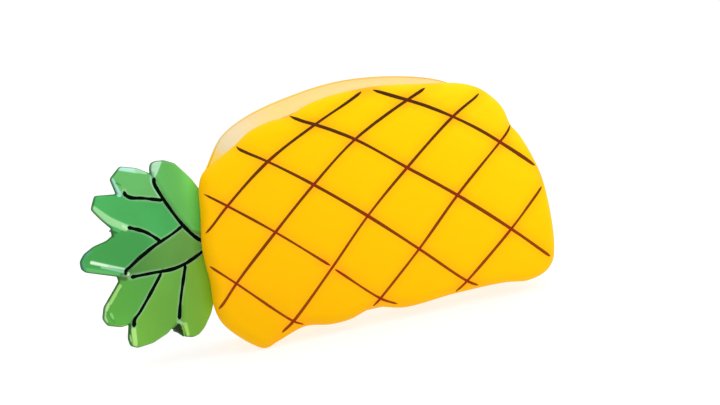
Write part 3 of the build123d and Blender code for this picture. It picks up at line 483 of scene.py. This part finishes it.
# Painted highlights and painted shade along the ground edges of the leaves: colour, half width at each end, and run.
PAINTED_GLINTS_AND_SHADE = [
    ((146, 209, 144), 2.5, 2.4, [(76, 42), (64.5, 30.5), (53.5, 22.5)]),
    ((178, 226, 170), 1.0, 1.2, [(55, 24), (53, 22)]),
    ((112, 196, 116), 1.6, 1.4, [(76, 42.5), (72.5, 47.5)]),
    ((152, 214, 190), 1.6, 1.7, [(58, 59.5), (53.5, 46)]),
    ((166, 222, 196), 1.8, 1.6, [(50.5, 64), (38, 59)]),
    ((144, 208, 152), 1.5, 1.0, [(38, 59), (31.5, 56)]),
    ((62, 142, 60), 0.8, 0.4, [(54, 54), (51.5, 52)]),
    ((168, 216, 178), 4.4, 2.4, [(22, 63.5), (26.5, 53.5)]),
    ((134, 198, 146), 1.8, 1.4, [(27, 54), (28, 49), (24, 36)]),
    ((204, 238, 202), 1.1, 0.9, [(82.5, 5), (70.5, -0.5)]),
    ((176, 222, 182), 0.9, 0.7, [(70.5, -0.5), (60, -5)]),
    ((128, 192, 152), 0.6, 0.9, [(76, 0), (60.5, -7)]),
    ((70, 146, 104), 1.7, 1.5, [(82.5, 13), (89, 8), (87.5, 1)]),
    ((88, 172, 92), 1.5, 1.3, [(86, 0.5), (64, -8)]),
    ((152, 206, 108), 1.0, 1.0, [(64.5, -16), (74, -26)]),
    ((170, 214, 142), 1.5, 1.3, [(76, -26.5), (80, -34), (79, -38.5)]),
    ((72, 140, 66), 0.4, 0.4, [(77.5, -31.5), (73.5, -40)]),
    ((76, 150, 60), 0.7, 0.3, [(64.5, -18.5), (68, -21.5)]),
    ((124, 200, 112), 0.9, 0.7, [(75, -33.5), (74, -36.5)]),
    ((132, 176, 62), 0.8, 0.8, [(79.5, -40), (75, -42.5), (64.5, -44.5)]),
    ((162, 213, 118), 1.7, 1.4, [(60.5, -48.5), (61, -60)]),
    ((48, 100, 44), 1.3, 1.0, [(62.5, -44.5), (64.5, -57)]),
    ((176, 214, 140), 0.4, 0.4, [(63.5, -51.5), (63.5, -56)]),
    ((166, 210, 96), 1.2, 0.9, [(22, -54), (21, -64)]),
    ((150, 200, 132), 1.2, 0.8, [(26.5, -51), (22, -54.5)]),
    ((186, 216, 128), 0.8, 0.6, [(-2.5, -43), (1.5, -51)]),
    ((196, 226, 176), 0.9, 0.6, [(57, -9), (57.5, -10)]),
    ((70, 110, 50), 1.2, 1.5, [(67, -10), (60, -12)]),
    ((50, 116, 62), 1.1, 0.9, [(63.5, 22), (63, 18.5)]),
]
GROOVE_SHEEN = (150, 190, 152)       # painted highlight on the ground edges beside the dark lines
GROOVE_SHEEN_REACH = 2.7
# The dark outline's colour, painted shade on the walls below the leaves' front.
EDGE_SHADE_GREEN = (30, 84, 38)
LEAF_ROUND = 1.1             # how far the outline's corners are rounded
LEAF_STEP = 0.4
LEAF_FRONT = [(1.0, 0.0), (0.16, 1.6), (0.0, 2.4)]            # share of the facet's width, and height
LEAF_BACK = [(0.0, 3.2), (1.4, 5.6), (4.8, 12.0)]             # inset and height towards the strings
FACET_NARROW, FACET_WIDE = 1.5, 4.2
FACET_WAY = -20.0            # the direction of the widest facets, in degrees from the tips' direction


def rounded_loop(outline):
    """The outline with its corners rounded off, as evenly spaced points."""
    points = np.array(outline, float)
    length = np.linalg.norm(np.roll(points, -1, 0) - points, axis=1).sum()
    loop = even_loop(points, int(length / LEAF_STEP))
    return soften(loop, LEAF_ROUND / LEAF_STEP)


def soften(loop, spread):
    """Blurs a closed run of evenly spaced values."""
    reach = int(3 * spread) + 1
    weights = np.exp(-0.5 * (np.arange(-reach, reach + 1) / spread) ** 2)
    weights /= weights.sum()
    return sum(w * np.roll(loop, k, 0) for w, k in zip(weights, range(-reach, reach + 1)))


def leaf_solid(outline):
    """Vertices and faces of one leaf, in head coordinates: a flat face, ground facets and a back that tapers."""
    loop = rounded_loop(outline)
    count = len(loop)
    normal = outward(loop)
    way = math.radians(FACET_WAY)
    facing = np.clip(normal @ np.array([math.cos(way), math.sin(way)]), 0, 1)
    facet = soften(FACET_NARROW + (FACET_WIDE - FACET_NARROW) * facing, 2.0)
    inward = soften(normal, 4.0)
    profile = [(share * facet, height) for share, height in LEAF_FRONT]
    profile += [(np.full(count, inset), height) for inset, height in LEAF_BACK]
    vertices = [np.column_stack([loop - inward * inset[:, None], np.full(count, height)]) for inset, height in profile]
    faces = []
    for r in range(len(profile) - 1):
        for k in range(count):
            n = (k + 1) % count
            faces.append((r * count + k, r * count + n, (r + 1) * count + n, (r + 1) * count + k))
    for ring in (0, len(profile) - 1):
        faces.append(tuple(ring * count + k for k in range(count)))
    return np.concatenate(vertices), faces


def blended(colours, colour, share):
    """The rows of colours mixed with one colour by each row's share."""
    colours += (np.array(linear(colour)) - colours) * share[:, None]


def leaf_colours(flat):
    """The colour of each point of the crown: its leaf's, with painted highlights and painted shade along the ground
    edges.
    """
    colours = np.tile(np.array(linear((80, 160, 70))), (len(flat), 1))
    taken = np.zeros(len(flat), bool)
    for root, tip, outline in LEAVES.values():
        loop = rounded_loop(outline)
        # Widened a little, so the walls below the edge take their own leaf's colour.
        here = inside(flat[:, :2], loop + outward(loop) * 0.5) & ~taken
        start, end = np.array(outline)[:, 0].min(), np.array(outline)[:, 0].max()
        share = np.clip((flat[here, 0] - start) / (end - start), 0, 1)[:, None]
        colours[here] = np.array(linear(root)) * (1 - share) + np.array(linear(tip)) * share
        taken |= here
    front = flat[:, 2] < 2.2
    # Painted light makes the leaves lighter where they run in under the shell, against the shade that falls there, and
    # painted shade makes them dark around their thin outer edge.
    colours *= 1 + 0.75 * np.exp(-np.clip((flat[:, :1] + 3) / 9, 0, None) ** 2)
    near = np.min([distance_to(flat[:, :2], open_curve(run, 1.5)) for run in VEINS], axis=0)
    # Painted highlight on the ground edges beside the dark lines.
    blended(colours, GROOVE_SHEEN, 0.45 * np.clip((GROOVE_SHEEN_REACH - near) / 1.3, 0, 1) * front)
    # Painted highlights and painted shade along the ground edges.
    for colour, first, last, run in PAINTED_GLINTS_AND_SHADE:
        path = open_curve(run, 1.0)
        ends = path[-1] - path[0]
        share = np.clip((flat[:, :2] - path[0]) @ ends / (ends @ ends), 0, 1)
        half = first + (last - first) * share
        away = distance_to(flat[:, :2], path)
        blended(colours, colour, np.clip((half - away) / 0.5 + 0.5, 0, 1) * front)
    # Painted shade: the walls below the front turn into a dark outline.
    edge = np.clip((flat[:, 2] - 1.15) / 0.5, 0, 1) * np.clip((11 - flat[:, 2]) / 3, 0.25, 1)
    blended(colours, EDGE_SHADE_GREEN, 0.85 * edge)
    return colours


def inside(points, loop):
    """Which of the points lie inside a closed 2-D loop."""
    x, y = points[:, 0][:, None], points[:, 1][:, None]
    x0, y0 = loop[:, 0][None], loop[:, 1][None]
    x1, y1 = np.roll(loop[:, 0], -1)[None], np.roll(loop[:, 1], -1)[None]
    with np.errstate(divide="ignore", invalid="ignore"):
        crossed = ((y0 > y) != (y1 > y)) & (x < (x1 - x0) * (y - y0) / (y1 - y0) + x0)
    return np.count_nonzero(crossed, axis=1) % 2 == 1


def crown_piece(material):
    """The leaves joined into one plate."""
    vertices, faces, start = [], [], 0
    for _, _, outline in LEAVES.values():
        points, polygons = leaf_solid(outline)
        vertices.append(points)
        faces += [tuple(v + start for v in polygon) for polygon in polygons]
        start += len(points)
    piece = new_piece("leaf_crown", np.concatenate(vertices) * MM, faces, [material])
    remesh = piece.modifiers.new("join", "REMESH")
    remesh.mode, remesh.voxel_size = "VOXEL", 0.45 * MM
    smooth = piece.modifiers.new("soften", "SMOOTH")
    smooth.factor, smooth.iterations = 0.5, 3
    apply_modifiers(piece)
    flat = read_points(piece) / MM
    colours = np.ones((len(flat), 4), np.float32)
    colours[:, :3] = leaf_colours(flat)
    store = piece.data.attributes.new("leaf_colour", "FLOAT_COLOR", "POINT")
    store.data.foreach_set("color", colours.ravel())
    write_points(piece, head_points(flat))
    return piece


def read_points(piece):
    flat = np.zeros(len(piece.data.vertices) * 3)
    piece.data.vertices.foreach_get("co", flat)
    return flat.reshape(-1, 3)


def write_points(piece, points):
    piece.data.vertices.foreach_set("co", np.asarray(points, np.float32).ravel())
    work = bmesh.new()
    work.from_mesh(piece.data)
    bmesh.ops.recalc_face_normals(work, faces=work.faces)
    work.to_mesh(piece.data)
    work.free()
    piece.data.update()


def apply_modifiers(piece):
    """Bakes a piece's modifiers into its mesh."""
    bpy.context.view_layer.update()
    graph = bpy.context.evaluated_depsgraph_get()
    mesh = bpy.data.meshes.new_from_object(piece.evaluated_get(graph))
    piece.modifiers.clear()
    piece.data = mesh
    mesh.polygons.foreach_set("use_smooth", [True] * len(mesh.polygons))


LINE_WIDTH = 2.35
LINE_RISE = 0.35


def crown_lines_piece(material):
    """The dark lines between the leaves: flat rounded beads with a drop at the outer end."""
    vertices, faces, start = [], [], 0
    for number, run in enumerate(VEINS):
        flat = open_curve(run, 0.8)
        left = np.linspace(1, 0, len(flat)) * np.linalg.norm(np.diff(flat, axis=0), axis=1).sum()
        widths = brush_width(len(flat), LINE_WIDTH, number) + 0.3 * np.exp(-((left - 1.5) / 1.6) ** 2)
        path = np.column_stack([flat, np.zeros(len(flat))])
        points, polygons = ribbon(path, widths, np.tile([0, 0, -1.0], (len(flat), 1)), LINE_RISE)
        vertices.append(points)
        faces += [tuple(v + start for v in polygon) for polygon in polygons]
        start += len(points)
    return new_piece("leaf_lines", head_points(np.concatenate(vertices)), faces, [material])


def crown_material():
    """Glossy green, cloudy inside, with painted shade for a dark outline where the surface turns away from the camera.
    """
    m = Nodes("green_glassy")
    colour = m.add("ShaderNodeAttribute", {"attribute_name": "leaf_colour"}).outputs["Color"]
    cloud = m.range(m.noise(26.0, 2.0, m.place()), 0.35, 0.7)
    lighter = m.mix(1.0, colour, rgba((236, 255, 236)), "SOFT_LIGHT")
    body = m.mix(m.math("MULTIPLY", cloud, 0.22), colour, lighter)
    # Painted shade: darker where the surface turns away from the camera.
    rim_shade = m.add("ShaderNodeLayerWeight", Blend=0.3).outputs["Facing"]
    body = m.mix(m.math("MULTIPLY", m.range(rim_shade, 0.62, 0.9), 0.75), body, rgba((20, 74, 34)))
    m.bump(m.noise(34.0, 2.0, m.place()), 0.08, 0.3 * MM)
    return m.set(Base_Color=body, Roughness=0.25, Coat_Weight=0.12, Coat_Roughness=0.05, Specular_IOR_Level=0.12)


# ---------------------------------------------------------------- finishes of the other pieces
def cream_shading_tone(m):
    """Cream with faint clouds. Painted shading greys it a little, then turns it yellow, towards the head end of the
    sides.
    """
    split = m.add("ShaderNodeSeparateXYZ", Vector=m.place())
    x = m.math("MULTIPLY", split.outputs[0], 1 / MM)
    z = m.math("MULTIPLY", split.outputs[2], 1 / MM)
    base = m.ramp(m.noise(14.0, 3.0, m.place()), [(0.3, (243, 198, 108)), (0.5, (243, 208, 112)), (0.72, (245, 200, 128))])
    # Painted shade: a little grey towards the head end of the sides.
    base = m.mix(m.math("MULTIPLY", m.range(x, -170.0, -205.0), 0.75), base, rgba((230, 214, 172)))
    # Painted shading: yellow low down at the head end of the sides.
    return m.mix(m.range(z, 57.0, 47.0), base, m.mix(m.range(x, -150.0, -200.0), base, rgba((255, 206, 36))))


def cream_material():
    """Pale cream lacquer."""
    m = Nodes("cream_lacquer")
    tone = cream_shading_tone(m)
    m.bump(m.noise(1.0, 4.0, m.stretched(60, 500, 60)), 0.06, 0.2 * MM)
    return m.set(Base_Color=tone, Roughness=0.45, Coat_Weight=0.1, Coat_Roughness=0.2, Specular_IOR_Level=0.2)


def wood_material(name, dark, light, scale, rough, coat=0.0, painted_edge=False):
    """Straight-grained wood with its grain along the strings. A painted edge takes the colour of the sides."""
    m = Nodes(name)
    warp = m.noise(1.0, 3.0, m.stretched(6, 6, 6))
    place = m.stretched(7, scale * 30, scale * 30)
    shifted = m.add("ShaderNodeVectorMath", {"operation": "ADD"}, i0=place, i1=warp).outputs[0]
    rings = m.add("ShaderNodeTexNoise", Vector=shifted, Scale=1.0, Detail=6.0, Roughness=0.62).outputs[0]
    pores = m.noise(1.0, 2.0, m.stretched(90, 1900, 1900))
    colour = m.ramp(rings, [(0.28, dark), (0.52, light), (0.75, tuple(0.5 * (a + b) for a, b in zip(dark, light)))])
    colour = m.mix(m.math("MULTIPLY", m.range(pores, 0.5, 0.3), 0.35), colour, rgba(tuple(0.6 * c for c in dark)))
    if painted_edge:
        normal = m.add("ShaderNodeSeparateXYZ", Vector=m.add("ShaderNodeNewGeometry").outputs["Normal"]).outputs[1]
        colour = m.mix(m.range(normal, 0.8, 0.6), colour, cream_shading_tone(m))
    m.bump(m.math("ADD", rings, pores), 0.15, 0.15 * MM)
    return m.set(Base_Color=colour, Roughness=rough, Coat_Weight=coat, Coat_Roughness=0.2)


def metal_material(name, colour, rough, brushed=0.25):
    m = Nodes(name)
    scratch = m.noise(1.0, 3.0, m.stretched(300, 2600, 300))
    smudge = m.noise(90.0, 3.0, m.place())
    tone = m.mix(m.range(smudge, 0.35, 0.7), rgba(colour), rgba(tuple(0.86 * c for c in colour)))
    level = m.math("MULTIPLY_ADD", scratch, brushed, rough)
    m.bump(scratch, 0.08, 0.05 * MM)
    return m.set(Base_Color=tone, Metallic=1.0, Roughness=level)


def polished_material(name, colours, scale, rough, bump=0.05, **extra):
    """Bone, pearl, enamel and plastic: a cloudy colour under a polish."""
    m = Nodes(name)
    cloud = m.noise(scale, 4.0, m.place(), 0.6)
    tone = m.ramp(cloud, [(0.3 + 0.4 * k / max(1, len(colours) - 1), c) for k, c in enumerate(colours)])
    m.bump(m.noise(scale * 9, 2.0, m.place()), bump, 0.1 * MM)
    return m.set(Base_Color=tone, Roughness=rough, **extra)


def rosette_material():
    """A ring of alternating brown and cream bands."""
    m = Nodes("rosette_rings")
    low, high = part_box("rosette")
    middle = (low + high) / 2
    away = m.add("ShaderNodeVectorMath", {"operation": "SUBTRACT"}, i0=m.place(), i1=tuple(middle)).outputs[0]
    flat = m.add("ShaderNodeVectorMath", {"operation": "MULTIPLY"}, i0=away, i1=(1, 0, 1)).outputs[0]
    reach = m.add("ShaderNodeVectorMath", {"operation": "LENGTH"}, i0=flat).outputs["Value"]
    band = m.range(reach, (high.x - low.x) / 2 - 5.0 * MM, (high.x - low.x) / 2, 0.0, 1.0, "LINEAR")
    brown, cream = (70, 34, 14), (238, 214, 160)
    colour = m.ramp(band, [(0.0, brown), (0.18, cream), (0.34, brown), (0.66, cream), (0.82, brown)], "CONSTANT")
    m.bump(m.noise(400.0, 2.0, m.place()), 0.05, 0.1 * MM)
    return m.set(Base_Color=colour, Roughness=0.35, Coat_Weight=0.3)


FINISHES = {
    "cream_lacquer": cream_material(),
    "yellow_shell": shell_material(),
    "green_acrylic": crown_material(),
    "line_enamel": polished_material("line_enamel", [(0, 8, 1), (0, 14, 3)], 80.0, 0.6, Specular_IOR_Level=0.02),
    "soundboard_wood": wood_material("soundboard_wood", (196, 142, 82), (232, 190, 126), 1.0, 0.42, 0.25, True),
    "spruce": wood_material("spruce", (206, 168, 112), (234, 204, 150), 1.2, 0.7),
    "mahogany": wood_material("mahogany", (92, 42, 22), (142, 74, 42), 1.6, 0.45, 0.2),
    "rosewood": wood_material("rosewood", (34, 18, 12), (74, 40, 26), 2.2, 0.5),
    "inlay_brown": rosette_material(),
    "bone": polished_material("bone", [(232, 224, 204), (244, 240, 226)], 60.0, 0.3),
    "pearl": polished_material("pearl", [(214, 226, 226), (246, 240, 236), (226, 236, 222)], 350.0, 0.15, Coat_Weight=0.6),
    "button_pearl": polished_material("button_pearl", [(226, 214, 186), (248, 242, 226), (236, 228, 206)], 130.0, 0.18,
                                      Coat_Weight=0.6),
    "nickel": metal_material("nickel", (206, 204, 198), 0.12, 0.12),
    "steel": metal_material("steel", (168, 168, 172), 0.25, 0.25),
    "brass": metal_material("brass", (214, 168, 84), 0.2, 0.2),
    "nylon": polished_material("nylon", [(228, 230, 226), (244, 244, 240)], 200.0, 0.2, Transmission_Weight=0.35),
}

slot_of = {part["node"]: part["material_slot"] for part in frame["record"]["subparts"]}
for node, piece in frame["nodes"].items():
    finish = FINISHES[slot_of[node]]
    if piece.material_slots:
        for place in piece.material_slots:
            place.material = finish
    else:
        piece.data.materials.append(finish)

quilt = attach(shell_piece(FINISHES["yellow_shell"]), "body")
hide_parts("back_shell")
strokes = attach(painted_lines_piece(quilt, stroke_material()), "body")
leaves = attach(crown_piece(FINISHES["green_acrylic"]), "body")
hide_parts("crown")
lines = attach(crown_lines_piece(FINISHES["line_enamel"]), "body")
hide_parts("crown_lines")


# ---------------------------------------------------------------- studio
FLOOR_GLOW = 0.7         # the floor glows by itself, which keeps the shadows faint


def floor_piece():
    """A wide pale floor under the object."""
    size, low = 14.0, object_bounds()[0].z
    corners = [(-size, -size, low), (size, -size, low), (size, size, low), (-size, size, low)]
    floor = new_piece("floor", corners, [(0, 1, 2, 3)], [], False)
    m = Nodes("floor")
    tone = m.mix(m.noise(3.0, 2.0, m.place()), rgba((158, 158, 158)), rgba((162, 162, 162)))
    glow = {"Emission_Color": (1, 1, 1, 1), "Emission_Strength": FLOOR_GLOW}
    floor.data.materials.append(m.set(Base_Color=tone, Roughness=0.8, Specular_IOR_Level=0.1, **glow))
    return floor


def soft_light(name, place, aim, size, power, colour=(1, 1, 1)):
    """A square area light that looks at a point."""
    light = bpy.data.lights.new(name, "AREA")
    light.size, light.energy, light.color = size, power, colour
    lamp = bpy.data.objects.new(name, light)
    bpy.context.scene.collection.objects.link(lamp)
    lamp.location = place
    lamp.rotation_mode = "QUATERNION"
    lamp.rotation_quaternion = (Vector(aim) - Vector(place)).to_track_quat("-Z", "Y")
    return lamp


def overhead_light(strength):
    """A wide, even light straight from above, which keeps the floor white."""
    light = bpy.data.lights.new("overhead", "SUN")
    light.energy, light.angle = strength, math.radians(120)
    bpy.context.scene.collection.objects.link(bpy.data.objects.new("overhead", light))


def view_axes(azimuth, elevation, roll):
    """Right, up and back directions of the camera. A positive roll leans the picture to the left."""
    a, e, r = (math.radians(v) for v in (azimuth, elevation, roll))
    back = Vector((math.sin(a) * math.cos(e), -math.cos(a) * math.cos(e), math.sin(e)))
    right = Vector((math.cos(a), math.sin(a), 0))
    up = back.cross(right)
    return right * math.cos(r) - up * math.sin(r), right * math.sin(r) + up * math.cos(r), back


CAMERA_ANGLES = (-12.6, 12.0, 9.5)
CAMERA_DISTANCE = 4.0
PICTURE_WIDTH = 0.4966                      # width of what the camera sees at the shell
AIM = Vector((-126.1, SHELL_SEAT_Y, 4.15)) * MM
SENSOR = 36.0


def add_camera():
    right, up, back = view_axes(*CAMERA_ANGLES)
    data = bpy.data.cameras.new("camera")
    data.sensor_width = SENSOR
    data.lens = SENSOR * CAMERA_DISTANCE / PICTURE_WIDTH
    data.clip_end = 50.0
    camera = bpy.data.objects.new("camera", data)
    bpy.context.scene.collection.objects.link(camera)
    turn = Matrix((right, up, back)).transposed().to_4x4()
    camera.matrix_world = Matrix.Translation(AIM + back * CAMERA_DISTANCE) @ turn
    bpy.context.scene.camera = camera


def add_world():
    world = bpy.data.worlds.new("studio")
    bpy.context.scene.world = world
    world.use_nodes = True
    background = world.node_tree.nodes["Background"]
    background.inputs[0].default_value = (1, 1, 1, 1)
    background.inputs[1].default_value = 0.82


floor_piece()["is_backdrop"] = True
add_camera()
add_world()
soft_light("key", (0.9, -1.3, 1.1), AIM, 0.9, 4)
overhead_light(1.1)
bpy.context.scene.view_settings.view_transform = "Standard"
